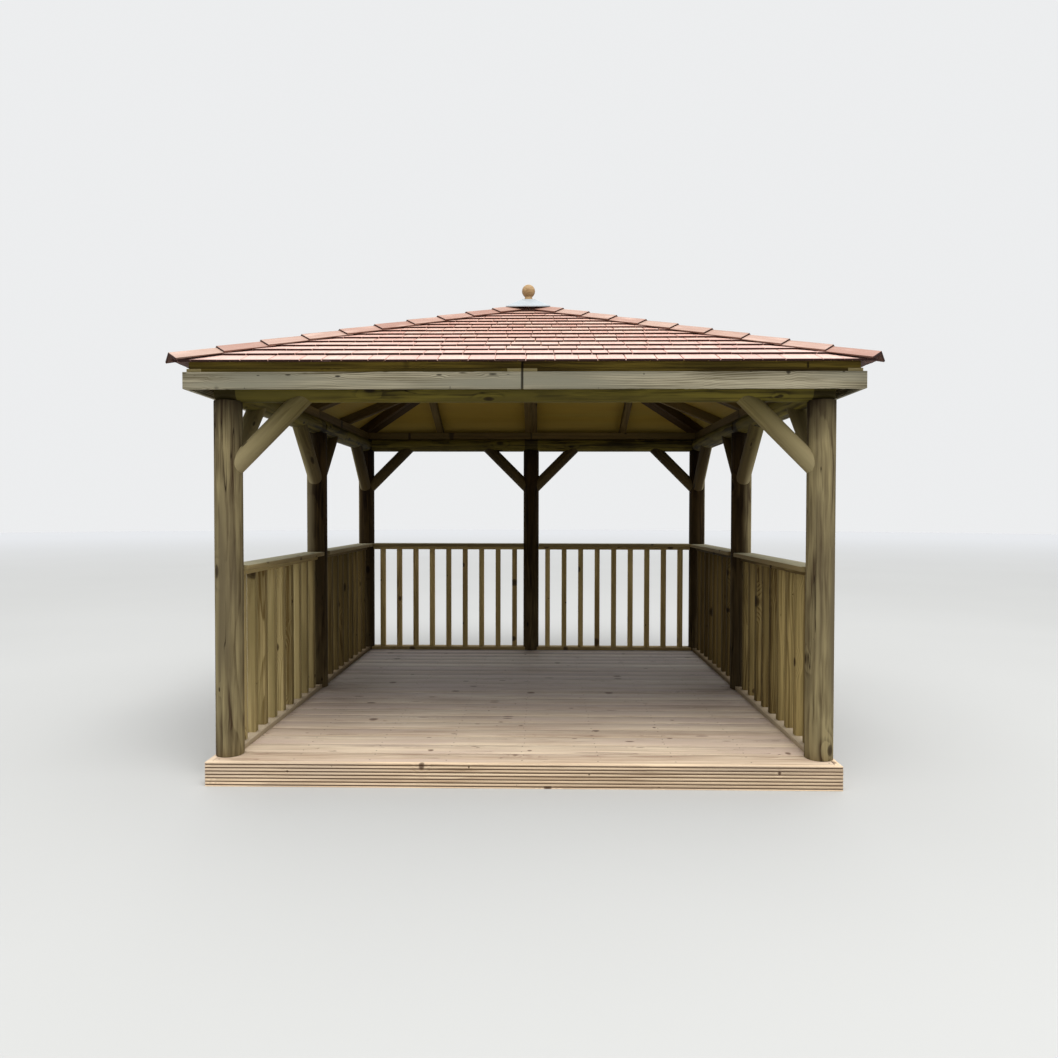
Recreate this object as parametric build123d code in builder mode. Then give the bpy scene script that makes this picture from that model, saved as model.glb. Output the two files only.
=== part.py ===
"""A square garden gazebo in pressure treated timber, open at the front.

Seven round posts stand on a boarded deck and carry a ring of four round logs,
half-lapped over the corner posts.  Round knee braces are scribed to the posts and
to the logs.  Balustrades close the two sides and the back.  The roof is a hipped
pyramid of eight triangular panels, boarded, shingled in stepped courses, capped
along the four hips and finished with a metal cap and a turned ball.

Millimetres.  The origin is on the ground, under the middle of the roof.  +Z is up,
the open front faces -Y, and left and right are those of someone who looks in.
"""

import os
from math import asin, cos, radians, sin, sqrt, tan

from build123d import *

os.makedirs("parts", exist_ok=True)

# Posts
post_spacing = 3100  # between the centres of corner posts, both ways
post_diameter = 144
post_foot_chamfer = 4

# Deck
joist_width = 45
joist_height = 95
joist_count = 9
deck_board_width = 145  # nominal: the boards are ripped to fill the deck exactly
deck_board_thickness = 28
deck_board_gap = 5
deck_board_arris = 3
deck_front_overhang = 145  # from the front posts' centres to the deck's front face
deck_fascia_thickness = 28
deck_end_gap = 3  # between the boards and the fascia that frames them
groove_width = 7  # of the grooves between the reeds of the fascia
groove_depth = 3.5
reed_pitch = 17.5

# Ring of logs, and the braces under it
beam_underside = 1855  # above the deck
beam_diameter = 120
beam_top_flat = 5  # planed off the top, where the roof panels bear
beam_seat_depth = 8  # flat cut into the underside, over a post
beam_cheek_depth = 8  # planed off both sides, over a post
seat_margin = 2  # the flat seat is this much longer than the post's top, each way
brace_diameter = 100
brace_reach = 370  # from the post's centre to where the brace's axis meets the log
scribe_gap = 0.3  # left between a scribed end and the round surface it fits

# Balustrades
rail_height = 995  # top of the handrail above the deck
handrail_width = 145
handrail_thickness = 28
handrail_arris = 4
subrail_width = 45
subrail_height = 28
baluster_width = 45
balusters_per_bay = 9
plank_width = 95
plank_thickness = 28

# Roof panels
roof_pitch = 22.6  # degrees
eave_overhang = 199  # from the posts' centres to the edge of the shingles
eaves_rail_width = 45
eaves_rail_height = 51.5  # over the middle of the log
rafter_width = 55
rafter_depth = 70
jack_rafter_offset = 855  # from the middle of a side to the middle of its jack rafter
sheathing_thickness = 12
panel_joint = 2  # between two neighbouring panels

# Fascia and frieze
shingle_overhang = 36  # from the face of the fascia to the edge of the shingles
fascia_thickness = 22
fascia_height = 86
frieze_height = 41.5  # from the top of the fascia up to the underside of the shingles
frieze_thickness = 22
frieze_lap = 40  # how far the frieze runs down behind the fascia
frieze_ledge_height = 18
frieze_ledge_depth = 8

# Shingles and hip caps, measured square to the slope
course_exposure = 124
course_butt = 20  # top of a course's lower edge above the sheathing
eave_butt = 12  # the same for the lowest course, which lies flat
course_head = 10  # top of a course where the next one covers it
hip_cap_width = 75
hip_cap_fall = 27  # degrees that a cap board falls away from its hip, square to the hip
hip_cap_exposure = 248  # along the hip
hip_cap_butt = 11.5
hip_cap_head = 3.5
hip_cap_overhang = 10  # beyond the shingles at the corner, along the hip

# Metal cap and finial
apex_flat_depth = 12  # sawn off the peak of the hip caps
block_width = 56  # square, no wider than the sawn-off peak that it stands on
block_height = 30
cap_width = 314  # the cap is square, its corners just over the hip caps
cap_crown_width = 88  # flat middle of the cap, which the finial stands on
cap_rise = 78.5
cap_thickness = 2
cap_hem = 4  # the rim is turned down by this much
finial_flange_radius = 43
finial_flange_height = 12
finial_neck_radius = 26.5
finial_neck_height = 8
finial_ball_radius = 47.5
finial_dowel_radius = 10
dowel_gap = 0.3

# Worked out from the sizes above
half_spacing = post_spacing / 2
post_radius = post_diameter / 2
deck_top = joist_height + deck_board_thickness
deck_side = half_spacing + post_radius
deck_front = half_spacing + deck_front_overhang
beam_radius = beam_diameter / 2
beam_axis = deck_top + beam_underside + beam_radius
beam_top = beam_axis + beam_radius - beam_top_flat
beam_seat = beam_axis - beam_radius + beam_seat_depth
lap_half = beam_radius - beam_cheek_depth
lap_level = (beam_top + beam_seat) / 2
beam_half_length = half_spacing + lap_half
seat_half = post_radius + seat_margin

slope = radians(roof_pitch)
eave_half = half_spacing + eave_overhang
layers = rafter_depth + sheathing_thickness
eave_height = beam_top + eaves_rail_height + layers / cos(slope) - eave_overhang * tan(slope)
slope_length = eave_half / cos(slope)
fascia_face = eave_half - shingle_overhang
frieze_face = fascia_face - fascia_thickness
frieze_back = frieze_face - frieze_thickness
fascia_top = eave_height - frieze_height
hip_rise = sqrt(2 + tan(slope) ** 2)  # length of hip for each unit of plan distance

# Angle about Z that carries a piece made for the front round to each side
sides = {"front": 0, "right": 90, "back": 180, "left": 270}


def save(shape, name):
    """Label a finished piece and write it to its own STEP file."""
    shape.label = name
    export_step(shape, f"parts/{name}.step")


def turned(shape, angle):
    """A copy of a piece, turned about the middle of the gazebo."""
    return shape.rotate(Axis.Z, angle)


def both_halves(shape, angle):
    """A piece of a left-hand panel and its right-hand twin, turned to their side."""
    return [turned(shape, angle), turned(shape.mirror(Plane.YZ), angle)]


# Deck: joists on the ground, reeded fascia boards round them, and boards across
joist_pitch = (2 * (deck_side - deck_fascia_thickness) - joist_width) / (joist_count - 1)
joist_run = deck_front + deck_side - 2 * deck_fascia_thickness
deck_middle = (deck_side - deck_front) / 2

with BuildPart() as deck_joists:
    with BuildSketch(Plane.XZ.offset(-deck_middle - joist_run / 2)):
        with Locations((0, joist_height / 2)):
            with GridLocations(joist_pitch, 1, joist_count, 1):
                Rectangle(joist_width, joist_height)
    extrude(amount=joist_run)
save(deck_joists.part, "deck_joists")

board_run = joist_run - 2 * deck_end_gap
board_count = round((board_run + deck_board_gap) / (deck_board_width + deck_board_gap))
board_pitch = (board_run + deck_board_gap) / board_count
board_length = 2 * (deck_side - deck_fascia_thickness - deck_end_gap)

with BuildPart() as deck_boards:
    with BuildSketch(Plane.XY.offset(joist_height)):
        with Locations((0, deck_middle)):
            with GridLocations(1, board_pitch, 1, board_count):
                Rectangle(board_length, board_pitch - deck_board_gap)
    extrude(amount=deck_board_thickness)
    top_edges = deck_boards.edges().group_by(Axis.Z)[-1].filter_by(Axis.X)
    chamfer(top_edges, deck_board_arris)
save(deck_boards.part, "deck_boards")


def reeded_board(plane, length):
    """A fascia board, its outer face in the plane, grooved along its length."""
    groove_count = int(deck_top / reed_pitch)
    with BuildPart() as board:
        with BuildSketch(plane):
            with Locations((deck_fascia_thickness / 2, deck_top / 2)):
                Rectangle(deck_fascia_thickness, deck_top)
                with GridLocations(1, reed_pitch, 1, groove_count):
                    with Locations((-deck_fascia_thickness / 2, 0)):
                        Rectangle(2 * groove_depth, groove_width, mode=Mode.SUBTRACT)
        extrude(amount=length / 2, both=True)
    return board.part


front_plane = Plane(origin=(0, -deck_front, 0), x_dir=(0, 1, 0), z_dir=(1, 0, 0))
back_plane = Plane(origin=(0, deck_side, 0), x_dir=(0, -1, 0), z_dir=(-1, 0, 0))
left_plane = Plane(origin=(-deck_side, deck_middle, 0), x_dir=(1, 0, 0), z_dir=(0, -1, 0))
right_plane = Plane(origin=(deck_side, deck_middle, 0), x_dir=(-1, 0, 0), z_dir=(0, 1, 0))
save(reeded_board(front_plane, 2 * deck_side), "deck_fascia_front")
save(reeded_board(back_plane, 2 * deck_side), "deck_fascia_back")
save(reeded_board(left_plane, joist_run), "deck_fascia_left")
save(reeded_board(right_plane, joist_run), "deck_fascia_right")

# Posts: round, with a flat top that the seat of the log stands on
post_places = {
    "front_left": (-half_spacing, -half_spacing),
    "front_right": (half_spacing, -half_spacing),
    "mid_left": (-half_spacing, 0),
    "mid_right": (half_spacing, 0),
    "back_left": (-half_spacing, half_spacing),
    "back_centre": (0, half_spacing),
    "back_right": (half_spacing, half_spacing),
}
for place, (x, y) in post_places.items():
    with BuildPart() as post:
        with BuildSketch(Plane.XY.offset(deck_top)):
            with Locations((x, y)):
                Circle(post_radius)
        extrude(amount=beam_seat - deck_top)
        foot_edges = post.faces().sort_by(Axis.Z)[0].edges()
        chamfer(foot_edges, post_foot_chamfer)
    save(post.part, f"post_{place}")


# Ring of logs: each is made along X for the front, then turned to its side
def log(post_offsets, keeps_lower_lap):
    """A round log with its top planed, squared over each post and lapped at its ends."""
    axis_plane = Plane(origin=(0, -half_spacing, beam_axis), x_dir=(0, 1, 0), z_dir=(1, 0, 0))
    cut_width = beam_diameter
    with BuildPart() as beam:
        with BuildSketch(axis_plane):
            Circle(beam_radius)
        extrude(amount=beam_half_length, both=True)
        with BuildSketch(Plane.XY.offset(beam_top)):
            with Locations((0, -half_spacing)):
                Rectangle(2 * beam_half_length, cut_width)
        extrude(amount=beam_top_flat, mode=Mode.SUBTRACT)
        with BuildSketch(Plane.XY.offset(beam_seat)):
            for offset in post_offsets:
                with Locations((offset, -half_spacing)):
                    Rectangle(2 * seat_half, cut_width)
        extrude(amount=-beam_seat_depth, mode=Mode.SUBTRACT)
        with BuildSketch(Plane.XY.offset(beam_seat)):
            for offset in post_offsets:
                for side in (-1, 1):
                    with Locations((offset, side * (lap_half + beam_cheek_depth / 2) - half_spacing)):
                        Rectangle(beam_diameter, beam_cheek_depth)
        extrude(amount=beam_top - beam_seat, mode=Mode.SUBTRACT)
        with BuildSketch(Plane.XY.offset(lap_level)):
            for end in (-half_spacing, half_spacing):
                with Locations((end, -half_spacing)):
                    Rectangle(2 * lap_half, cut_width)
        lap_cut = beam_top - lap_level if keeps_lower_lap else beam_seat - lap_level
        extrude(amount=lap_cut, mode=Mode.SUBTRACT)
    return beam.part


corner_offsets = (-half_spacing, half_spacing)
all_offsets = (-half_spacing, 0, half_spacing)
save(log(corner_offsets, True), "beam_front")
save(turned(log(all_offsets, True), sides["back"]), "beam_back")
save(turned(log(all_offsets, False), sides["left"]), "beam_left")
save(turned(log(all_offsets, False), sides["right"]), "beam_right")


# Knee braces: round poles whose ends are scribed to a post and to a log
def brace(post_offset, lean):
    """A brace on the front, rising from a post towards +X (lean 1) or -X (lean -1)."""
    foot = (post_offset, -half_spacing, deck_top + beam_underside - brace_reach)
    rise = brace_reach + beam_radius
    with BuildPart() as pole:
        with BuildSketch(Plane(origin=foot, z_dir=(lean, 0, 1))):
            Circle(brace_diameter / 2)
        extrude(amount=rise * sqrt(2))
        with BuildSketch(Plane.XY):
            with Locations((post_offset, -half_spacing)):
                Circle(post_radius + scribe_gap)
        extrude(amount=beam_axis, mode=Mode.SUBTRACT)
        with BuildSketch(Plane(origin=(0, -half_spacing, beam_axis), z_dir=(1, 0, 0))):
            Circle(beam_radius + scribe_gap)
        extrude(amount=half_spacing, both=True, mode=Mode.SUBTRACT)
    return pole.part


corner_braces = [(-half_spacing, 1), (half_spacing, -1)]
middle_braces = [(0, -1), (0, 1)]
for side, angle in sides.items():
    feet = corner_braces if side == "front" else corner_braces + middle_braces
    with BuildPart() as braces:
        for offset, lean in feet:
            add(turned(brace(offset, lean), angle))
    save(braces.part, f"braces_{side}")

# Balustrade bay: made once along X between two posts, then set in its six places
bay = half_spacing
baluster_pitch = bay / (balusters_per_bay + 1)
subrail_bottom = deck_top + rail_height - handrail_thickness - subrail_height

with BuildPart() as balustrade:
    with BuildSketch(Plane.XY.offset(deck_top)):
        Rectangle(bay - plank_width, plank_width)
    extrude(amount=plank_thickness)
    with BuildSketch(Plane.XY.offset(deck_top + plank_thickness)):
        with GridLocations(baluster_pitch, 1, balusters_per_bay, 1):
            Rectangle(baluster_width, baluster_width)
    extrude(amount=subrail_bottom - deck_top - plank_thickness)
    with BuildSketch(Plane.XY.offset(subrail_bottom)):
        Rectangle(bay - subrail_width, subrail_width)
    extrude(amount=subrail_height)
    with BuildSketch(Plane.XY.offset(deck_top)):
        with GridLocations(bay, 1, 2, 1):
            Circle(post_radius + scribe_gap)
    extrude(amount=rail_height, mode=Mode.SUBTRACT)

handrail_end = max(post_radius, handrail_width / 2) + scribe_gap
with BuildPart() as handrail:
    with BuildSketch(Plane.XY.offset(deck_top + rail_height - handrail_thickness)):
        Rectangle(bay - 2 * handrail_end, handrail_width)
    extrude(amount=handrail_thickness)
    chamfer(handrail.edges().filter_by(Axis.X), handrail_arris)

bay_places = {
    "back_left": Location((-bay / 2, half_spacing, 0)),
    "back_right": Location((bay / 2, half_spacing, 0)),
    "left_front": Location((-half_spacing, -bay / 2, 0), (0, 0, 90)),
    "left_back": Location((-half_spacing, bay / 2, 0), (0, 0, 90)),
    "right_front": Location((half_spacing, -bay / 2, 0), (0, 0, 90)),
    "right_back": Location((half_spacing, bay / 2, 0), (0, 0, 90)),
}
for place, location in bay_places.items():
    save(balustrade.part.moved(location), f"balustrade_{place}")
for side in ("back", "left", "right"):
    with BuildPart() as handrails:
        for place, location in bay_places.items():
            if place.startswith(side):
                add(handrail.part.moved(location))
    save(handrails.part, f"handrails_{side}")

# Roof: the front slope is drawn in section, up the slope and square to it, from the
# edge of the shingles on top of the sheathing, and the three others are turned from it
section = Plane(
    origin=(0, -eave_half, eave_height),
    x_dir=(0, cos(slope), sin(slope)),
    z_dir=(1, 0, 0),
)
left_hip = Plane(origin=(0, 0, 0), x_dir=(0, 0, 1), z_dir=(1, -1, 0))
right_hip = Plane(origin=(0, 0, 0), x_dir=(0, 0, 1), z_dir=(-1, -1, 0))
left_half = Plane(origin=(-panel_joint / 2, 0, 0), x_dir=(0, 0, 1), z_dir=(-1, 0, 0))


def up_slope(plan_distance):
    """Distance up the slope, from the shingles' edge, of a point on plan."""
    return (eave_half - plan_distance) / cos(slope)


def height_at(plan_distance, above=0):
    """Height of the sheathing's top, or of a plane above it, at a distance on plan."""
    return eave_height + (eave_half - plan_distance) * tan(slope) + above / cos(slope)


# Sheathing: a flat triangle on each slope
with BuildPart() as sheathing:
    with BuildSketch(section):
        with Locations((up_slope(frieze_face), 0)):
            Rectangle(
                slope_length - up_slope(frieze_face),
                sheathing_thickness,
                align=(Align.MIN, Align.MAX),
            )
    extrude(amount=eave_half, both=True)
    split(bisect_by=left_hip, keep=Keep.TOP)
    split(bisect_by=right_hip, keep=Keep.TOP)
for side, angle in sides.items():
    save(turned(sheathing.part, angle), f"sheathing_{side}")

# Rafters: a pair at the middle of each slope, where two panels meet, and two jacks
rafter_start = up_slope(frieze_back)
stile_offset = (panel_joint + rafter_width) / 2
hip_clear = rafter_width + panel_joint / 2

with BuildPart() as slope_rafters:
    with BuildSketch(section):
        with Locations((rafter_start, -sheathing_thickness)):
            Rectangle(
                slope_length - rafter_start, rafter_depth, align=(Align.MIN, Align.MAX)
            )
    extrude(amount=eave_half, both=True)
    with BuildSketch(Plane.XY):
        for offset in (-jack_rafter_offset, -stile_offset, stile_offset, jack_rafter_offset):
            with Locations((offset, -half_spacing)):
                Rectangle(rafter_width, 4 * half_spacing)
    extrude(amount=2 * eave_height, mode=Mode.INTERSECT)
    split(bisect_by=left_hip.offset(hip_clear + panel_joint), keep=Keep.TOP)
    split(bisect_by=right_hip.offset(hip_clear + panel_joint), keep=Keep.TOP)
with BuildPart() as rafters:
    for angle in sides.values():
        add(turned(slope_rafters.part, angle))
save(rafters.part, "rafters")

# Hip rafters: each panel has a hip stile, so they lie in pairs along the hips
with BuildPart() as hip_stile:
    with BuildSketch(section):
        with Locations((rafter_start, -sheathing_thickness)):
            Rectangle(
                slope_length - rafter_start, rafter_depth, align=(Align.MIN, Align.MAX)
            )
    extrude(amount=-eave_half)
    split(bisect_by=left_hip.offset(panel_joint / 2), keep=Keep.TOP)
    split(bisect_by=left_hip.offset(hip_clear), keep=Keep.BOTTOM)
    split(bisect_by=left_half, keep=Keep.TOP)
with BuildPart() as hip_rafters:
    for angle in sides.values():
        add(both_halves(hip_stile.part, angle))
save(hip_rafters.part, "hip_rafters")

# Eaves rails: on top of the logs, bevelled to the rafters that they carry
rail_inner = half_spacing - eaves_rail_width / 2
rail_outer = half_spacing + eaves_rail_width / 2
with BuildPart() as eaves_rail:
    with BuildSketch(Plane.YZ):
        with BuildLine():
            Polyline(
                (-rail_inner, beam_top),
                (-rail_outer, beam_top),
                (-rail_outer, height_at(rail_outer, -layers)),
                (-rail_inner, height_at(rail_inner, -layers)),
                close=True,
            )
        make_face()
    extrude(amount=-eave_half)
    split(bisect_by=left_hip.offset(panel_joint / 2), keep=Keep.TOP)
    split(bisect_by=left_half, keep=Keep.TOP)
with BuildPart() as eaves_rails:
    for angle in sides.values():
        add(both_halves(eaves_rail.part, angle))
save(eaves_rails.part, "eaves_rails")

# Fascia: two boards to a side, butted at the middle and mitred at the corners
with BuildPart() as fascia_board:
    with BuildSketch(Plane.YZ):
        with Locations((-fascia_face, fascia_top)):
            Rectangle(fascia_thickness, fascia_height, align=(Align.MIN, Align.MAX))
    extrude(amount=-eave_half)
    split(bisect_by=left_hip, keep=Keep.TOP)
    split(bisect_by=left_half, keep=Keep.TOP)
for side, angle in sides.items():
    with BuildPart() as fascia:
        add(both_halves(fascia_board.part, angle))
    save(fascia.part, f"fascia_{side}")

# Frieze: set back above the fascia, with a ledge at its foot, up to the sheathing
with BuildPart() as frieze_board:
    with BuildSketch(Plane.YZ):
        with BuildLine():
            Polyline(
                (-frieze_back, fascia_top - frieze_lap),
                (-frieze_face, fascia_top - frieze_lap),
                (-frieze_face, fascia_top),
                (-frieze_face - frieze_ledge_depth, fascia_top),
                (-frieze_face - frieze_ledge_depth, fascia_top + frieze_ledge_height),
                (-frieze_face, fascia_top + frieze_ledge_height),
                (-frieze_face, height_at(frieze_face, -sheathing_thickness)),
                (-frieze_back, height_at(frieze_back, -sheathing_thickness)),
                close=True,
            )
        make_face()
    extrude(amount=-eave_half)
    split(bisect_by=left_hip.offset(panel_joint / 2), keep=Keep.TOP)
    split(bisect_by=left_half, keep=Keep.TOP)
with BuildPart() as frieze_boards:
    for angle in sides.values():
        add(both_halves(frieze_board.part, angle))
save(frieze_boards.part, "frieze_boards")

# Shingles: a saw-toothed section, one tooth to a course, mitred along the hips
course_count = int(slope_length / course_exposure) + 1
teeth = [(0, 0)]
for course in range(course_count):
    teeth.append((course * course_exposure, course_butt if course else eave_butt))
    teeth.append(((course + 1) * course_exposure, course_head))
teeth.append((course_count * course_exposure, 0))

with BuildPart() as shingles:
    with BuildSketch(section):
        with BuildLine():
            Polyline(*teeth, close=True)
        make_face()
    extrude(amount=eave_half, both=True)
    split(bisect_by=left_hip, keep=Keep.TOP)
    split(bisect_by=right_hip, keep=Keep.TOP)
for side, angle in sides.items():
    save(turned(shingles.part, angle), f"shingles_{side}")

# Hip caps: overlapping pairs of boards that step down each hip to the corner.  They are
# joined more steeply than the slopes meet, so only their outer edges lie on the shingles.
# One strip is drawn in section along the front left hip, square to its boards, extruded
# across them, mitred on the hip and mirrored to the left slope.
hip_direction = Vector(1, 1, tan(slope)).normalized()
across_hip = Vector(1, -1, 0).normalized()
above_hip = across_hip.cross(hip_direction)
slope_normal = Vector(0, -sin(slope), cos(slope))
slope_fall = asin(slope_normal.dot(across_hip))
board_fall = radians(hip_cap_fall)
board_normal = across_hip * sin(board_fall) + above_hip * cos(board_fall)
ridge_gap = hip_cap_width * cos(board_fall) * (tan(board_fall) - tan(slope_fall))
corner = Vector(-eave_half, -eave_half, height_at(eave_half, course_butt)) + above_hip * ridge_gap
hip_section = Plane(
    origin=corner - hip_direction * hip_cap_overhang,
    x_dir=hip_direction,
    z_dir=hip_direction.cross(board_normal),
)
hip_length = eave_half * hip_rise + hip_cap_overhang
hip_cap_count = int(hip_length / hip_cap_exposure) + 1
cap_teeth = [(0, 0)]
for step in range(hip_cap_count):
    cap_teeth.append((step * hip_cap_exposure, hip_cap_butt))
    cap_teeth.append(((step + 1) * hip_cap_exposure, hip_cap_head))
cap_teeth.append((hip_cap_count * hip_cap_exposure, 0))

# The last cap passes under the metal one, and the peak is sawn flat for its block
top_step = hip_cap_count - 1
last_run = hip_length - top_step * hip_cap_exposure
last_cap = hip_cap_butt - last_run * (hip_cap_butt - hip_cap_head) / hip_cap_exposure
peak = height_at(0, course_butt) + (ridge_gap + last_cap / cos(board_fall)) / above_hip.Z
apex_flat = peak - apex_flat_depth

with BuildPart() as hip_caps:
    with BuildSketch(hip_section):
        with BuildLine():
            Polyline(*cap_teeth, close=True)
        make_face()
    extrude(amount=hip_cap_width, both=True)
    split(bisect_by=left_hip, keep=Keep.TOP)
    mirror(about=left_hip)
    split(bisect_by=Plane.YZ, keep=Keep.BOTTOM)
    split(bisect_by=Plane.XZ, keep=Keep.TOP)
    split(bisect_by=Plane.XY.offset(apex_flat), keep=Keep.BOTTOM)
corners = {"front_left": 0, "front_right": 90, "back_right": 180, "back_left": 270}
for place, angle in corners.items():
    save(turned(hip_caps.part, angle), f"hip_caps_{place}")

# Block, metal cap and finial: the block is bored for the finial's dowel, and the cap
# is a low square pyramid of sheet with a flat crown, its rim turned down
cap_seat = apex_flat + block_height
cap_rim = cap_seat - cap_rise
cap_hole = finial_dowel_radius + dowel_gap
with BuildPart() as finial_block:
    with BuildSketch(Plane.XY.offset(apex_flat)):
        Rectangle(block_width, block_width)
        Circle(cap_hole, mode=Mode.SUBTRACT)
    extrude(amount=block_height)
save(finial_block.part, "finial_block")


def low_pyramid(half_width, foot, rim, top):
    """A square pyramid with a flat crown, standing on upright edges from foot to rim."""
    crown_half = cap_crown_width / 2
    outline = [
        (-half_width, foot),
        (-half_width, rim),
        (-crown_half, top),
        (crown_half, top),
        (half_width, rim),
        (half_width, foot),
    ]
    with BuildPart() as pyramid:
        with BuildSketch(Plane.XZ):
            with BuildLine():
                Polyline(*outline, close=True)
            make_face()
        extrude(amount=half_width, both=True)
        with BuildSketch(Plane.YZ):
            with BuildLine():
                Polyline(*outline, close=True)
            make_face()
        extrude(amount=half_width, both=True, mode=Mode.INTERSECT)
    return pyramid.part


cap_half = cap_width / 2
hem_foot = cap_rim - cap_hem
with BuildPart() as roof_cap:
    add(low_pyramid(cap_half, hem_foot, cap_rim + cap_thickness, cap_seat + cap_thickness))
    add(low_pyramid(cap_half - cap_thickness, hem_foot, cap_rim, cap_seat), mode=Mode.SUBTRACT)
    with BuildSketch(Plane.XY.offset(cap_seat)):
        Circle(cap_hole)
    extrude(amount=cap_thickness, mode=Mode.SUBTRACT)
save(roof_cap.part, "roof_cap")

flange_bottom = cap_seat + cap_thickness
flange_edge = flange_bottom + finial_flange_height / 2
neck_bottom = flange_bottom + finial_flange_height
ball_centre = neck_bottom + finial_neck_height + finial_ball_radius
neck_top = ball_centre - sqrt(finial_ball_radius**2 - finial_neck_radius**2)
ball_top = ball_centre + finial_ball_radius
with BuildPart() as finial:
    with BuildSketch(Plane.XZ):
        with BuildLine():
            Polyline(
                (0, ball_top),
                (0, apex_flat),
                (finial_dowel_radius, apex_flat),
                (finial_dowel_radius, flange_bottom),
                (finial_flange_radius, flange_bottom),
                (finial_flange_radius, flange_edge),
                (finial_neck_radius, neck_bottom),
                (finial_neck_radius, neck_top),
            )
            ThreePointArc(
                (finial_neck_radius, neck_top), (finial_ball_radius, ball_centre), (0, ball_top)
            )
        make_face()
    revolve(axis=Axis.Z)
save(finial.part, "finial")
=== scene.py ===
# %% [markdown]
# # A garden gazebo, dressed for its portrait
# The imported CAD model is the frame: it says where every post, board and course lies.  The real gazebo is sawn
# and turned timber, so nearly everything that makes it look real is grain.  A CAD node could simply be given
# a wood material, but then all boards would be cut from one endless block.  Here each board and pole is made
# again at its CAD place, with the grain of its own piece of tree stored in its mesh.

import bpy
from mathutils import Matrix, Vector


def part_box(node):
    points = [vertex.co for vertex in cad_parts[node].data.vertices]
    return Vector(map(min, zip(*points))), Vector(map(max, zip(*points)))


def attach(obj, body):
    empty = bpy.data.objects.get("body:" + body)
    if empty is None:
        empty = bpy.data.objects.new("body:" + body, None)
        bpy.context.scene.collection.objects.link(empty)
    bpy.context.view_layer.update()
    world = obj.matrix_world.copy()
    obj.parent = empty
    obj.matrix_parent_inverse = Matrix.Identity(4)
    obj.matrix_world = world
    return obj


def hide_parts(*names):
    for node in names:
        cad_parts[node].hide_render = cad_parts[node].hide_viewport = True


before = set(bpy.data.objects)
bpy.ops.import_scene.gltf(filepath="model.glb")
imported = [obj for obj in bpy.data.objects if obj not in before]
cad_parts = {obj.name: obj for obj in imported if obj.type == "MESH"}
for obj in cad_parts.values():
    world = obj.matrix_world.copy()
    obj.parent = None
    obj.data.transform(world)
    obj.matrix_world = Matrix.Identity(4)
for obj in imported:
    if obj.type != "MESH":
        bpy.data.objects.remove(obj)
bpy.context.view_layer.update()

# %% Tools and driving sizes
import random
from math import acos, asin, atan2, cos, degrees, pi, radians, sin, sqrt, tan

import bmesh
import bpy
from mathutils import Matrix, Vector, noise

rng = random.Random(22)

post_low, post_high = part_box("post_front_left")
deck_low, deck_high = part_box("deck_boards")
half_spacing = -round((post_low.x + post_high.x) / 2, 4)
post_radius = round((post_high.x - post_low.x) / 2, 4)
deck_top = post_low.z
beam_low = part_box("beam_front")[0]
beam_radius = 0.060
beam_axis = round(beam_low.z, 3) + beam_radius
eave_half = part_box("shingles_front")[1].x
pitch = radians(22.6)
sheathing_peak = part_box("sheathing_front")[1].z
eave_height = sheathing_peak - eave_half * tan(pitch)
slope_length = eave_half / cos(pitch)
side_angles = {"front": 0, "right": 90, "back": 180, "left": 270}
print("post radius", post_radius, "deck", deck_top, "log", beam_axis, "eave", round(eave_height, 4))

# %% [markdown]
# ## Camera
# The photograph was taken from a standing eye, a little right of the middle, with a wide lens.  The place,
# turn and focal length come from fitting the posts, rails and roof edges of the real gazebo to the picture.
# A camera could be aimed with a Track To constraint, but three small turns are easier to read and to repeat.

# %% The photograph's camera
image_side = 1058
focal_pixels = 746.3
camera_place = Vector((0.099, -5.458, 1.397))
camera_turn = 0.0170
camera_dip = -0.0204
camera_roll = 0.0015


def put(name, data):
    """A new object with this data, in the scene and at the origin."""
    made = bpy.data.objects.new(name, data)
    bpy.context.scene.collection.objects.link(made)
    return made


lens = bpy.data.cameras.new("camera")
lens.sensor_width = 36.0
lens.lens = focal_pixels / image_side * lens.sensor_width
camera = put("camera", lens)
camera.matrix_world = (
    Matrix.Translation(camera_place)
    @ Matrix.Rotation(camera_turn, 4, "Z")
    @ Matrix.Rotation(pi / 2 + camera_dip, 4, "X")
    @ Matrix.Rotation(camera_roll, 4, "Z")
)
bpy.context.scene.camera = camera
print("lens", round(lens.lens, 2), "mm")

# %% [markdown]
# ## Studio
# Soft daylight suits open timber: a pale even sky all round, one large square lamp high over the front for
# shape, and a pale floor.  A small bright lamp would draw hard shadows that hide the grain.

# %% Lamp and floor
lamp_place, lamp_target = Vector((1.5, -5.2, 11.0)), Vector((0, -1.2, 0.5))
lamp_power, lamp_side = 760, 5.0
floor_radius, floor_gap = 60.0, 0.0005
bpy.context.scene.view_settings.view_transform = "Standard"

lamp = bpy.data.lights.new("sky_lamp", "AREA")
lamp.shape = "SQUARE"
lamp.size = lamp_side
lamp.energy = lamp_power
lamp_holder = put("sky_lamp", lamp)
lamp_turn = (lamp_target - lamp_place).to_track_quat("-Z", "Y").to_matrix().to_4x4()
lamp_holder.matrix_world = Matrix.Translation(lamp_place) @ lamp_turn

floor_mesh = bmesh.new()
bmesh.ops.create_circle(floor_mesh, cap_ends=True, radius=floor_radius, segments=96)
bmesh.ops.translate(floor_mesh, verts=floor_mesh.verts, vec=(0, 0, -floor_gap))
floor_data = bpy.data.meshes.new("studio_floor")
floor_mesh.to_mesh(floor_data)
floor_mesh.free()
floor = put("studio_floor", floor_data)
print("lamp", lamp_side, "m square,", lamp_place.z, "m up; floor", 2 * floor_radius, "m across")

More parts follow.
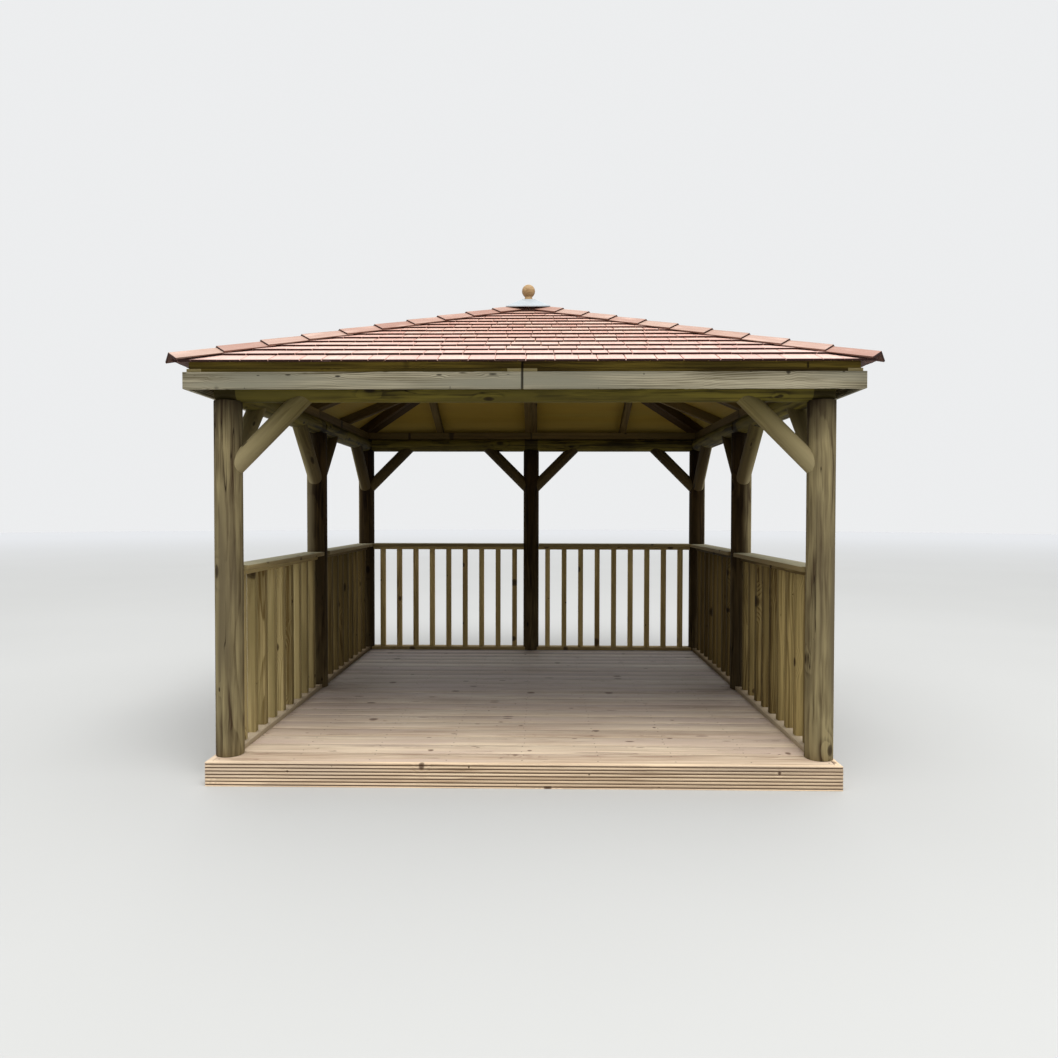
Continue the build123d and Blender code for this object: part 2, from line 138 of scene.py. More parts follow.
# %% [markdown]
# ## Shader sums in plain Python
# A wood finish is mostly arithmetic on coordinates.  Nodes could be linked one by one, but a sum is easier to
# read as a sum.  `Wire` wraps a socket and answers to + - * /, and `Finish` holds one material.

# %% Wires and finishes
class Wire:
    """A shader node's output, so that sums of outputs are written as Python sums."""

    def __init__(self, finish, socket):
        self.finish = finish
        self.socket = socket

    def other(self, name):
        return Wire(self.finish, self.socket.node.outputs[name])

    def __add__(self, value):
        return self.finish.math("ADD", self, value)

    def __sub__(self, value):
        return self.finish.math("SUBTRACT", self, value)

    def __mul__(self, value):
        return self.finish.math("MULTIPLY", self, value)

    def __truediv__(self, value):
        return self.finish.math("DIVIDE", self, value)

    def __rsub__(self, value):
        return self.finish.math("SUBTRACT", value, self)

    __radd__, __rmul__ = __add__, __mul__


class Finish:
    """The nodes of one material, or of the sky. node() adds a node and feed() sets one input."""

    def __init__(self, name, sky=None):
        self.material = sky or bpy.data.materials.new(name)
        self.material.use_nodes = True
        self.tree = self.material.node_tree
        self.shader = self.tree.nodes.get("Principled BSDF")

    def feed(self, socket, value):
        if isinstance(value, Wire):
            self.tree.links.new(value.socket, socket)
        else:
            socket.default_value = value

    def node(self, kind, settings, values, output=0):
        made = self.tree.nodes.new(kind)
        for name, setting in settings.items():
            setattr(made, name, setting)
        for name, value in values.items():
            self.feed(made.inputs[name], value)
        return Wire(self, made.outputs[output])

    def math(self, operation, *values):
        return self.node("ShaderNodeMath", {"operation": operation}, dict(enumerate(values)))

    def vector(self, operation, values, output=0):
        return self.node("ShaderNodeVectorMath", {"operation": operation}, dict(enumerate(values)), output)

    def coordinates(self, kind):
        return self.node("ShaderNodeTexCoord", {}, {}, kind)

    def stored(self, name, output):
        return self.node("ShaderNodeAttribute", {"attribute_name": name}, {}, output)

    def axis(self, vector, name):
        return self.node("ShaderNodeSeparateXYZ", {}, {0: vector}, name)

    def stretch(self, vector, factors):
        return self.vector("MULTIPLY", (vector, factors))

    def shift(self, vector, other):
        return self.vector("ADD", (vector, other))

    def length(self, vector):
        return self.vector("LENGTH", (vector,), "Value")

    def cloud(self, vector, factors, detail=2.0, output="Fac"):
        values = {"Vector": self.stretch(vector, factors), "Scale": 1.0, "Detail": detail}
        return self.node("ShaderNodeTexNoise", {}, values, output)

    def ease(self, value, low, high):
        settings = {"interpolation_type": "SMOOTHSTEP"}
        return self.node("ShaderNodeMapRange", settings, {"Value": value, "From Min": low, "From Max": high})

    def mix(self, factor, one, two, blend="MIX"):
        settings = {"data_type": "RGBA", "blend_type": blend}
        return self.node("ShaderNodeMix", settings, {0: factor, 6: one, 7: two}, 2)

    def close(self, colour, roughness, height, depth, metallic=0.0, gloss=0.5):
        bump = self.node("ShaderNodeBump", {}, {"Strength": 1.0, "Distance": depth, "Height": height})
        self.feed(self.shader.inputs["Base Color"], colour)
        self.feed(self.shader.inputs["Roughness"], roughness)
        self.feed(self.shader.inputs["Normal"], bump)
        self.shader.inputs["Metallic"].default_value = metallic
        self.shader.inputs["Specular IOR Level"].default_value = gloss
        return self.material


# %% [markdown]
# ## Sky and floor paint
# The sky is brightest overhead, as on an overcast day, so that the roof shades the room under it.  Behind
# the gazebo the camera sees an even, pale backdrop instead: a bright backdrop that also lit the timber would
# fill the shade.  The floor is smooth matt paint with a faint unevenness, and pales far away.

# %% Sky and floor finishes
horizon_light, zenith_light = 0.30, 1.90
backdrop_light = 0.86


def paint(red, green, blue):
    """A colour as a paint chart gives it, 0 to 255, for a shader's socket."""
    chart = [v / 255 for v in (red, green, blue)]
    return (*[v / 12.92 if v <= 0.04045 else ((v + 0.055) / 1.055) ** 2.4 for v in chart], 1.0)


world = bpy.data.worlds.new("studio")
bpy.context.scene.world = world
sky = Finish("sky", world)
sky_height = sky.axis(sky.coordinates("Generated"), "Z")
sky_light = sky.ease(sky_height, -0.05, 0.95) * (zenith_light - horizon_light) + horizon_light
seen = sky.node("ShaderNodeLightPath", {}, {}, "Is Camera Ray")
sky_strength = sky_light + seen * (backdrop_light - sky_light)
sky.feed(world.node_tree.nodes["Background"].inputs["Strength"], sky_strength)
world.node_tree.nodes["Background"].inputs["Color"].default_value = (0.98, 0.99, 1.0, 1.0)

floor_paint = Finish("floor_paint")
floor_spot = floor_paint.coordinates("Object")
floor_unevenness = floor_paint.cloud(floor_spot, (0.4, 0.4, 0.4))
floor_near = floor_paint.mix(floor_unevenness, paint(172, 172, 170), paint(177, 177, 175))
floor_away = floor_paint.ease(floor_paint.length(floor_spot), 8.0, 50.0)
floor_colour = floor_paint.mix(floor_away, floor_near, paint(193, 194, 196))
floor_data.materials.append(floor_paint.close(floor_colour, 0.85, floor_unevenness, 0.0005))
print("sky", horizon_light, "at the horizon,", zenith_light, "overhead")

# %% [markdown]
# ## Shade under the roof
# Studio light reaches far into an open building.  The sky could be darkened, but then the roof would dull
# too.  So the timbers take a share of painted shade: deeper towards the back of the room and on faces that
# look inwards, and a little less near the deck.

# %% Painted shade
shade_depth = 0.7
deck_glow = 1.6


def shelter(finish, reach, drop):
    """0 at the open front and on every face that looks out, 1 on what faces into the back of the room."""
    place = finish.coordinates("Object")
    to_middle = finish.stretch(place, (-1 / half_spacing, -1 / half_spacing, 0))
    inward = finish.vector("DOT_PRODUCT", (to_middle, finish.coordinates("Normal")), "Value")
    along = finish.axis(place, "Y")
    depth_in = finish.ease(along * (shade_depth / half_spacing) + reach, 0.0, 1.0)
    low_down = 1 - finish.ease(along.other("Z"), deck_top, deck_top + deck_glow)
    return depth_in * finish.ease(inward, -0.7, 0.2) * (1 - low_down * drop)


# %% [markdown]
# ## Timber
# Softwood shows five things: year rings, which a saw or lathe opens into lines and arches; darker streaks
# along the fibres; knots, round which the rings flow; patches of stain; and a tone that differs from board
# to board.  A picture of wood could be wrapped round each piece, but solid figures in three dimensions match
# on every face, as in real timber.  They are drawn in the `grain` attribute: x runs along the fibres, y and z
# across them from the heart of the tree.  Knots are branches that grow straight out from the heart, so they
# are placed by x and by the angle round it.  `tone` is one number for each board.  The mark
# `grime_and_painted_shade` darkens: it is painted shade in the floors of grooves, in butt joints, on the
# squared log blocks and on the post heads, which also have some stain, and it darkens the back planks.
# The mark `paling_and_painted_light` pales: it is painted light on the feet of the braces and the ends of
# the frieze ledges, and it pales the side planks.  Faces that look up are paled as well.  A piece without one
# of these marks reads 0.

# %% One recipe for every timber
heart_to_face = 0.075
trunk_stretch = 0.55
bare_share = 0.25
smallest_knot = 0.0008
mark_depth, rim_depth = 0.85, 0.75
centred = (-0.5, -0.5, -0.5)


def timber(name, pale, dark, knot, stain, ring=0.006, rings=0.3, streaks=0.9, fibres=0.35, patches=0.5,
           tones=0.4, knot_room=0.17, knot_size=0.012, checks=0.0, roughness=0.72, relief=0.0012, base=0.3,
           shade=0.8, reach=0.75, drop=0.0, gloom=(98, 80, 44), gloss=0.12, wander=0.012,
           patch_pace=(1.3, 6.0, 6.0), top_paling=0.0, paling_colour=(170, 154, 130)):
    """A planed or turned softwood finish. The shares rings, streaks and so on say how strong each is."""
    wood = Finish(name)
    pale, dark, knot, stain, gloom, paling_colour = (paint(*c) for c in (pale, dark, knot, stain, gloom, paling_colour))
    grain = wood.stored("grain", "Vector")
    tone = wood.stored("tone", "Fac")

    place = wood.axis(grain, "X")
    round_heart = wood.math("ARCTAN2", place.other("Y"), place.other("Z"))
    spots = {0: place * trunk_stretch, 1: round_heart * heart_to_face}
    branches = {"Vector": wood.node("ShaderNodeCombineXYZ", {}, spots), "Scale": 1 / knot_room}
    knots = wood.node("ShaderNodeTexVoronoi", {"voronoi_dimensions": "2D"}, branches, "Distance")
    chance = wood.node("ShaderNodeSeparateColor", {}, {"Color": knots.other("Color")}, "Red")
    from_knot = knots * knot_room
    luck = wood.math("MAXIMUM", chance - bare_share, 0.0)
    knot_radius = luck * luck * knot_size * 2 + smallest_knot
    core = 1 - wood.ease(from_knot, knot_radius * 0.7, knot_radius)
    inside = wood.ease(from_knot, knot_radius * 0.6, knot_radius)
    rim = inside - wood.ease(from_knot, knot_radius, knot_radius * 1.7)
    flow = 1 - wood.ease(from_knot, 0.0, knot_radius * 6)

    sway = wood.cloud(grain, (0.9, 0.0, 0.0), 1.0, "Color")
    bend = wood.stretch(wood.shift(sway, centred), (0.0, 0.055, 0.055))
    heart = wood.length(wood.stretch(wood.shift(grain, bend), (0.0, 1.0, 1.0)))
    uneven = wood.cloud(grain, (2.2, 26.0, 26.0), 3.0)
    year = wood.math("FRACT", heart / ring + flow * knot_radius * 1.6 / ring + uneven * 0.8)
    late = wood.ease(year, 0.3, 0.88) - wood.ease(year, 0.9, 1.0)

    drift = wood.shift(wood.cloud(grain, (4.0, 6.0, 6.0), 1.0, "Color"), centred)
    wavy = wood.shift(grain, wood.stretch(drift, (0.0, wander, wander)))
    streak = wood.cloud(wavy, (1.5, 60.0, 60.0), 3.0)
    fibre = wood.cloud(wavy, (8.0, 420.0, 420.0), 2.0)
    patch = wood.cloud(grain, patch_pace, 2.0)
    figure = (late * rings + (streak - 0.5) * streaks * 1.6 + (fibre - 0.5) * fibres
              + (patch - 0.5) * patches + (tone - 0.5) * tones + base)
    colour = wood.mix(figure, pale, dark)
    colour = wood.mix(wood.ease(wood.cloud(grain, (0.8, 9.0, 9.0), 2.0), 0.45, 0.72), colour, stain)
    upward = wood.axis(wood.coordinates("Normal"), "Z")
    # Paler where faces look up and where the paling_and_painted_light mark is set; on brace feet and ledge ends
    # this is painted light.
    paled = wood.ease(upward, 0.3, 0.9) * top_paling + wood.stored("paling_and_painted_light", "Fac")
    colour = wood.mix(paled, colour, paling_colour)
    colour = wood.mix(core * mark_depth, colour, knot)
    colour = wood.mix(rim * rim_depth, colour, knot)

    height = streak * 0.5 + fibre * 0.4 - late * 0.25 - rim * 0.5
    if checks:
        line = wood.math("ABSOLUTE", wood.cloud(grain, (0.7, 22.0, 22.0), 1.0) - 0.5)
        crack = (1 - wood.ease(line, 0.001, checks)) * wood.ease(patch, 0.46, 0.56)
        colour = wood.mix(crack * mark_depth, colour, knot)
        height = height - crack * 3.0
    # Painted shade: the grime_and_painted_shade mark darkens grooves, joints, log blocks and post heads towards
    # the knot colour.
    colour = wood.mix(wood.stored("grime_and_painted_shade", "Fac") * mark_depth, colour, knot)
    # Painted shade of the roof, deeper towards the back and on faces that look inwards.
    colour = wood.mix(shelter(wood, reach, drop) * shade, colour, gloom, "MULTIPLY")
    return wood.close(colour, fibre * 0.16 + (roughness - 0.08), height, relief, gloss=gloss)


# %% [markdown]
# ## The gazebo's timbers
# Pressure treated pine leaves the works green and weathers by how much rain and sun it gets.  The poles are
# grey-brown outside, the logs and balusters in the roof's shade stay olive, and the right side's balusters
# take a darker copy of the left side's finish, which is painted shade.  The back bays take a lighter copy
# with little painted shade, which is painted light.  The deck has washed to a pinkish tan, and the fascia
# has bleached.  One recipe with its own colours and strengths gives each.

# %% Timber finishes
post_wood = timber("post_wood", (142, 129, 94), (60, 46, 31), (40, 28, 18), (101, 90, 67), ring=0.010,
                   rings=0.35, streaks=1.3, patches=1.7, tones=0.15, checks=0.005, relief=0.002, shade=0.95,
                   reach=0.92, drop=0.17, gloom=(92, 68, 16), gloss=0.06, wander=0.030,
                   patch_pace=(3.0, 13.0, 13.0), knot_room=0.26, knot_size=0.014)
log_wood = timber("log_wood", (110, 99, 38), (48, 40, 12), (28, 18, 8), (86, 77, 32), ring=0.010, rings=0.4,
                  streaks=2.0, patches=2.2, tones=0.15, checks=0.005, relief=0.002, shade=0.45,
                  gloom=(110, 88, 20), wander=0.020, patch_pace=(3.0, 9.0, 9.0))
brace_wood = timber("brace_wood", (122, 111, 70), (74, 62, 33), (40, 28, 16), (102, 91, 55), ring=0.010,
                    streaks=1.2, knot_room=0.26, tones=0.3, relief=0.0015, shade=0.9, reach=0.8,
                    gloom=(100, 80, 26), wander=0.020, paling_colour=(166, 152, 116))
rail_habit = {"rings": 0.4, "streaks": 1.2, "knot_room": 0.14, "knot_size": 0.013}
side_habit = {**rail_habit, "tones": 0.9, "reach": 0.66, "gloom": (102, 84, 26), "top_paling": 0.9, "gloss": 0.05}
rail_wood = timber("rail_wood", (180, 162, 114), (98, 80, 46), (44, 28, 14), (134, 119, 79), **side_habit)
# Painted shade: the right side's bays take a darker copy of the left side's finish.
right_rail_painted_shade = timber("right_rail_painted_shade", (154, 135, 88), (78, 62, 33), (40, 24, 12), (112, 97, 60),
                        **side_habit)
# Painted light: the back bays take a lighter copy of the side finish, with little painted shade.
back_rail_painted_lit = timber("back_rail_painted_lit", (196, 172, 116), (126, 103, 62), (50, 34, 22), (150, 132, 84),
                        tones=0.7, shade=0.15, **rail_habit)
handrail_wood = timber("handrail_wood", (164, 146, 102), (104, 88, 54), (52, 38, 22), (136, 120, 82),
                       shade=0.45, gloom=(98, 84, 30), top_paling=0.85, paling_colour=(166, 160, 132))
deck_wood = timber("deck_wood", (226, 207, 179), (160, 133, 110), (92, 62, 44), (194, 172, 153),
                   streaks=0.8, patches=0.7, tones=0.45, knot_room=0.15, checks=0.003, roughness=0.66,
                   shade=0.86, reach=0.86, gloom=(126, 139, 164), gloss=0.4)
edge_wood = timber("edge_wood", (238, 212, 178), (160, 130, 100), (76, 48, 30), (204, 182, 156),
                   streaks=1.0, patches=0.8, knot_size=0.014, gloss=0.3)
fascia_wood = timber("fascia_wood", (172, 163, 138), (80, 72, 50), (18, 13, 9), (132, 128, 110), ring=0.008,
                     rings=0.8, streaks=1.4, patches=2.0, tones=0.3, knot_room=0.07, knot_size=0.0075,
                     base=0.15, wander=0.020)
frieze_wood = timber("frieze_wood", (128, 109, 43), (54, 41, 11), (24, 16, 8), (80, 68, 27), ring=0.007,
                     rings=0.5, streaks=2.0, patches=2.2, tones=0.5, paling_colour=(176, 160, 112))
rafter_wood = timber("rafter_wood", (112, 92, 48), (66, 50, 22), (32, 20, 10), (92, 76, 38), tones=0.5,
                     shade=0.4)
stile_wood = timber("stile_wood", (112, 88, 50), (62, 44, 22), (32, 20, 10), (86, 68, 38), tones=0.5)
panel_wood = timber("panel_wood", (144, 119, 46), (116, 92, 33), (76, 54, 20), (132, 111, 46), ring=0.012,
                    rings=0.2, streaks=0.35, fibres=0.2, tones=0.2, knot_room=0.5, knot_size=0.004,
                    relief=0.0004, shade=0.0)
joist_wood = timber("joist_wood", (140, 120, 74), (92, 74, 42), (48, 34, 18), (118, 102, 62), ring=0.008,
                    rings=0.35)
turned_wood = timber("turned_wood", (172, 144, 102), (134, 101, 62), (98, 62, 34), (158, 126, 86), ring=0.005,
                     rings=0.5, streaks=0.5, knot_room=0.6, knot_size=0.004, roughness=0.55, gloss=0.3,
                     shade=0.0)
print(len(bpy.data.materials), "finishes so far")

# %% [markdown]
# ## Making timbers
# A board starts as a cube, is scaled to size and has its long edges eased, because a sharp edge catches no
# light.  A pole starts as a cylinder cut into short lengths, so that it can swell and bend a little, as a
# turned log does.  Both are made along X at the origin, are given their grain there, and are then moved.

# %% Boards, poles and grain
def move(bm, matrix):
    bmesh.ops.transform(bm, matrix=matrix, verts=bm.verts)


def tree_spot(aside, depth):
    """A random spot to cut a piece from: aside and depth say how far it lies from the heart."""
    return Vector((rng.uniform(0, 60), rng.uniform(-aside, aside), rng.uniform(*depth)))


def give_grain(bm, start, shade, lie=Matrix.Identity(4)):
    """Store each vertex's place in its own piece of tree, and one tone for the whole piece."""
    grain = bm.verts.layers.float_vector.new("grain")
    tone = bm.verts.layers.float.new("tone")
    for v in bm.verts:
        v[grain] = lie @ v.co + start
        v[tone] = shade


def mark(bm, name, strength):
    """Store a mark, 0 to 1, at each vertex. strength is a function of the vertex's place."""
    layer = bm.verts.layers.float.new(name)
    for v in bm.verts:
        v[layer] = strength(v.co)


def ease_edges(bm, edges, size, segments=2):
    bmesh.ops.bevel(bm, geom=edges, offset=size, segments=segments, profile=0.5, affect="EDGES", material=-1)


def board(length, width, thickness, arris=0.002):
    """A planed board along X, its long edges eased."""
    bm = bmesh.new()
    bmesh.ops.create_cube(bm, size=1)
    bmesh.ops.scale(bm, verts=bm.verts, vec=(length, width, thickness))
    ease_edges(bm, [e for e in bm.edges if abs(e.verts[0].co.x - e.verts[1].co.x) > length / 2], arris)
    give_grain(bm, tree_spot(0.05, (-0.11, -0.035)), rng.random())
    return bm


def pole(length, radius, swell=0.010, segments=48, pace=0.055, heart_reach=0.016):
    """A turned pole along X from the origin. It swells inwards only, so it keeps its largest size."""
    bm = bmesh.new()
    bmesh.ops.create_cone(bm, cap_ends=True, segments=segments, radius1=radius, radius2=radius, depth=length)
    long_edges = [e for e in bm.edges if abs(e.verts[0].co.z - e.verts[1].co.z) > length / 2]
    bmesh.ops.subdivide_edges(bm, edges=long_edges, cuts=int(length / pace), use_grid_fill=True)
    upright = Matrix.Translation((length / 2, 0, 0)) @ Matrix.Rotation(pi / 2, 4, "Y")
    move(bm, upright)
    give_grain(bm, tree_spot(heart_reach, (-heart_reach, heart_reach)), rng.random())
    seed = rng.uniform(0, 90)
    for v in bm.verts:
        wave = noise.noise(Vector((v.co.x * 1.4 + seed, v.co.y * 9, v.co.z * 9)))
        ripple = noise.noise(Vector((v.co.x * 5 + seed, v.co.y * 22, v.co.z * 22)))
        trim = 1 - swell * (0.5 + 0.5 * wave) - swell * 0.3 * (0.5 + 0.5 * ripple)
        v.co.y *= trim
        v.co.z *= trim
    return bm


# %% [markdown]
# ## Sawing, placing and showing
# A node is often several boards, so finished parts are gathered in one mesh before they become an object.
# The object stays at the origin and its place is in its mesh, as for a CAD node.  A Boolean could mitre the
# boards, but a flat cut needs only a plane: the saw clears one side and closes the cut with a new face.

# %% Saw, join and show
def cut(bm, point, normal, keep_one=False):
    """Cut through a piece along a plane. With keep_one, the wood behind the plane goes."""
    everything = [*bm.verts, *bm.edges, *bm.faces]
    return bmesh.ops.bisect_plane(bm, geom=everything, plane_co=point, plane_no=normal, clear_inner=keep_one)


def saw(bm, inward, set_in=0.0, point=None):
    """Saw a piece in two and keep the part that the inward direction points to."""
    normal = Vector(inward).normalized()
    sawn = cut(bm, normal * set_in if point is None else Vector(point), normal, keep_one=True)
    open_edges = [e for e in sawn["geom_cut"] if isinstance(e, bmesh.types.BMEdge)]
    bmesh.ops.holes_fill(bm, edges=open_edges, sides=0)


def join(whole, part, place=Matrix.Identity(4)):
    """Move a finished part to its place and add it to the piece that it belongs to."""
    move(part, place)
    bmesh.ops.recalc_face_normals(part, faces=part.faces)
    lump = bpy.data.meshes.new("lump")
    part.to_mesh(lump)
    part.free()
    whole.from_mesh(lump)
    bpy.data.meshes.remove(lump)


def show(bm, name, finish, slot, *nodes, crease=35):
    """Turn a made piece into an object that stands for its CAD nodes."""
    mesh = bpy.data.meshes.new(name)
    bm.to_mesh(mesh)
    bm.free()
    mesh.shade_smooth()
    mesh.set_sharp_from_angle(angle=radians(crease))
    stale_normals = mesh.attributes.get("custom_normal")
    if stale_normals is not None:
        mesh.attributes.remove(stale_normals)
    mesh.materials.append(finish)
    piece = put(name, mesh)
    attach(piece, "root")
    if nodes:
        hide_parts(*nodes)
    print(name, len(mesh.polygons), "faces")


def at(x, y, z):
    return Matrix.Translation((x, y, z))


def spun(angle):
    return Matrix.Rotation(radians(angle), 4, "Z")


left_hip, right_hip, left_half = (1, -1, 0), (-1, -1, 0), (-1, 0, 0)
halves = (Matrix.Identity(4), Matrix.Scale(-1, 4, (1, 0, 0)))
print("tools", ", ".join(tool.__name__ for tool in (board, pole, saw, join, show)))

# %% [markdown]
# ## Deck
# The deck is the lightest part of the gazebo, because rain and sun reach it.  Its boards run across, with
# fine dark joints, and lie on nine joists.

# %% Deck boards and joists
board_count, board_gap = 22, 0.005
board_pitch = (deck_high.y - deck_low.y + board_gap) / board_count
board_thickness = deck_high.z - deck_low.z
board_places = [deck_low.y - board_gap / 2 + board_pitch * (row + 0.5) for row in range(board_count)]
deck_boards = bmesh.new()
for y in board_places:
    made = board(deck_high.x - deck_low.x, board_pitch - board_gap, board_thickness, 0.003)
    join(deck_boards, made, at(0, y, deck_top - board_thickness / 2))
show(deck_boards, "deck_planking", deck_wood, "deck_board", "deck_boards")

joist_low, joist_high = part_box("deck_joists")
joist_count, joist_width = 9, 0.045
joist_pitch = (joist_high.x - joist_low.x - joist_width) / (joist_count - 1)
joist_places = [joist_low.x + joist_width / 2 + joist_pitch * n for n in range(joist_count)]
joists = bmesh.new()
for x in joist_places:
    made = board(joist_high.y - joist_low.y, joist_width, joist_high.z - joist_low.z)
    join(joists, made, at(x, (joist_low.y + joist_high.y) / 2, joist_high.z / 2) @ spun(90))
show(joists, "deck_bearers", joist_wood, "joist_timber", "deck_joists")

# %% [markdown]
# ## Deck edge
# The boards that frame the deck are decking on edge, reeded to the outside.  The CAD node already has the
# reeds, so a copy of it is merged, smoothed and given grain, and the floors of its grooves are painted dark:
# painted shade.

# %% Reeded edge boards
def copied(node, to_grain):
    """A merged copy of a CAD node, its grain read off through a matrix."""
    bm = bmesh.new()
    bm.from_mesh(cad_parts[node].data)
    bmesh.ops.remove_doubles(bm, verts=bm.verts, dist=0.00005)
    for e in bm.edges:
        e.smooth = True
    shade = rng.random()
    give_grain(bm, tree_spot(0.02, (-0.02, 0.02)), shade, to_grain)
    return bm


groove_floor = 0.0035
for side, angle in side_angles.items():
    node = f"deck_fascia_{side}"
    to_front = spun(-angle)
    edge = copied(node, Matrix.Rotation(pi / 2, 4, "X") @ at(0, half_spacing, 0) @ to_front)
    outer = min((to_front @ v.co).y for v in edge.verts)
    # Painted shade in the floors of the reeds' grooves.
    mark(edge, "grime_and_painted_shade", lambda place: float(abs((to_front @ place).y - outer - groove_floor) < 0.001))
    show(edge, f"edge_board_{side}", edge_wood, "reeded_board", node)

# %% [markdown]
# ## Posts
# Seven turned poles stand on the deck.  Each is chamfered at both ends, as it comes from the lathe.  The
# heads are painted dark: painted shade from the eaves, together with some stain.

# %% Seven posts
post_height = post_high.z - post_low.z
post_places = {
    "front_left": (-1, -1), "front_right": (1, -1), "mid_left": (-1, 0), "mid_right": (1, 0),
    "back_left": (-1, 1), "back_centre": (0, 1), "back_right": (1, 1),
}
head_shade_and_stain, head_shade = 0.9, 0.22
for place, (x, y) in post_places.items():
    post = bmesh.new()
    made = pole(post_height, post_radius)
    # Painted shade and stain: the top head_shade of each post is darkened.
    mark(made, "grime_and_painted_shade", lambda spot: head_shade_and_stain * max(0.0, 1 - (post_height - spot.x) / head_shade))
    ease_edges(made, [e for e in made.edges if len({len(f.verts) > 4 for f in e.link_faces}) == 2], 0.004)
    stand = at(x * half_spacing, y * half_spacing, deck_top) @ spun(rng.uniform(0, 360))
    join(post, made, stand @ Matrix.Rotation(-pi / 2, 4, "Y"))
    show(post, f"pole_{place}", post_wood, "post_timber", f"post_{place}")

# %% [markdown]
# ## Ring of logs
# The logs are planed flat on top, notched to sit on the posts, squared where they cross them and half-lapped
# at the corners.  A Boolean could cut each flat, but a plane only pushes wood back to a line.  So the pole is
# sawn across at each shoulder and the vertices beyond it are pressed back to the plane.  The squared blocks,
# cut back under the fascia, are painted dark: painted shade.

# %% Logs with their flats
beam_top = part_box("beam_front")[1].z
seat_level = post_high.z
block_half = beam_radius
block_painted_shade = 0.8
seat_half = post_radius + 0.002
cheek = 0.052
lap_level = (beam_top + seat_level) / 2
shoulder = 0.0006


def slice_across(bm, x):
    cut(bm, (x, 0, 0), (1, 0, 0))


def log(post_offsets, keeps_lower_lap):
    """A log along X, its middle at the origin, with the flats that its joints need."""
    half_length = half_spacing + cheek
    bm = pole(2 * half_length, beam_radius, swell=0.006)
    bmesh.ops.translate(bm, verts=bm.verts, vec=(-half_length, 0, 0))
    for offset in post_offsets:
        for reach in (block_half, seat_half, cheek):
            for end in (-reach, reach):
                slice_across(bm, offset + end)
                slice_across(bm, offset + end * (1 + shoulder / reach))
    seat, lap = seat_level - beam_axis, lap_level - beam_axis
    for v in bm.verts:
        v.co.z = min(v.co.z, beam_top - beam_axis)
        for offset in post_offsets:
            away = abs(v.co.x - offset)
            if away < seat_half + shoulder / 2:
                v.co.z = max(v.co.z, seat)
            if away < block_half + shoulder / 2:
                v.co.y = max(-cheek, min(cheek, v.co.y))
            if away < cheek + shoulder / 2 and abs(offset) > 1:
                v.co.z = min(v.co.z, lap) if keeps_lower_lap else max(v.co.z, lap)
    block_edge = block_half + shoulder / 2
    # Painted shade on the squared blocks over the posts.
    mark(bm, "grime_and_painted_shade", lambda place: block_painted_shade * any(abs(place.x - x) < block_edge for x in post_offsets))
    return bm


corners = (-half_spacing, half_spacing)
for side, angle in side_angles.items():
    offsets = corners if side == "front" else (*corners, 0.0)
    ring_log = bmesh.new()
    made = log(offsets, side in ("front", "back"))
    join(ring_log, made, spun(angle) @ at(0, -half_spacing, beam_axis))
    show(ring_log, f"ring_log_{side}", log_wood, "log_timber", f"beam_{side}", crease=40)

# %% [markdown]
# ## Knee braces
# This is the joiner's best work: each end is scribed, that is hollowed to fit the round of the post or of the
# log.  The end of a plain pole is a flat disc.  Its vertices slide along the pole until they touch the other
# round, which is what scribing does.

# %% Scribed braces
brace_radius = 0.050
brace_reach = 0.370
foot_painted_light = 0.7


def brace(post_x, lean):
    """A brace on the front, rising from the post towards lean."""
    foot_z = beam_axis - beam_radius - brace_reach
    length = (brace_reach + beam_radius) * sqrt(2)
    bm = pole(length, brace_radius, swell=0.012, segments=36)
    # Painted light: each brace is paled from its foot upwards, so its top, shaded by the log, stays darker.
    mark(bm, "paling_and_painted_light", lambda place: foot_painted_light * max(0.0, 1 - place.x / (0.8 * length)))
    ends = [f for f in bm.faces if len(f.verts) > 4]
    bmesh.ops.poke(bm, faces=ends)
    low = [v for v in bm.verts if v.co.x < 0.001]
    high = [v for v in bm.verts if v.co.x > length - 0.001]
    tilt = Matrix.Rotation(-pi / 4, 4, "Y") if lean > 0 else Matrix.Rotation(-3 * pi / 4, 4, "Y")
    move(bm, at(post_x, -half_spacing, foot_z) @ tilt)
    for v in low:
        slide = post_x + lean * sqrt(post_radius**2 - (v.co.y + half_spacing) ** 2) - v.co.x
        v.co.x += slide
        v.co.z += slide * lean
    for v in high:
        slide = beam_axis - sqrt(beam_radius**2 - (v.co.y + half_spacing) ** 2) - v.co.z
        v.co.z += slide
        v.co.x += slide * lean
    return bm


corner_braces = [(-half_spacing, 1), (half_spacing, -1)]
middle_braces = [(0, -1), (0, 1)]
for side, angle in side_angles.items():
    braces = bmesh.new()
    for post_x, lean in corner_braces if side == "front" else corner_braces + middle_braces:
        join(braces, brace(post_x, lean), spun(angle))
    show(braces, f"knee_braces_{side}", brace_wood, "brace_timber", f"braces_{side}")

# %% [markdown]
# ## Balustrades
# Each bay has a flat bottom plank, nine square balusters and a sub-rail, with a wide handrail on top.  The
# ends of plank and rail follow the round of the posts, so they are scribed like the braces.  The side planks
# are marked paler and the back planks darker.  The right side's bays are painted darker than the left's,
# which is painted shade, and the back bays lighter, which is painted light.

# %% Balustrade bays and handrails
bay = half_spacing
balusters_per_bay = 9
baluster_width = 0.045
plank_width, plank_thickness = 0.095, 0.028
rail_low, rail_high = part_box("handrails_left")
subrail_height = 0.028


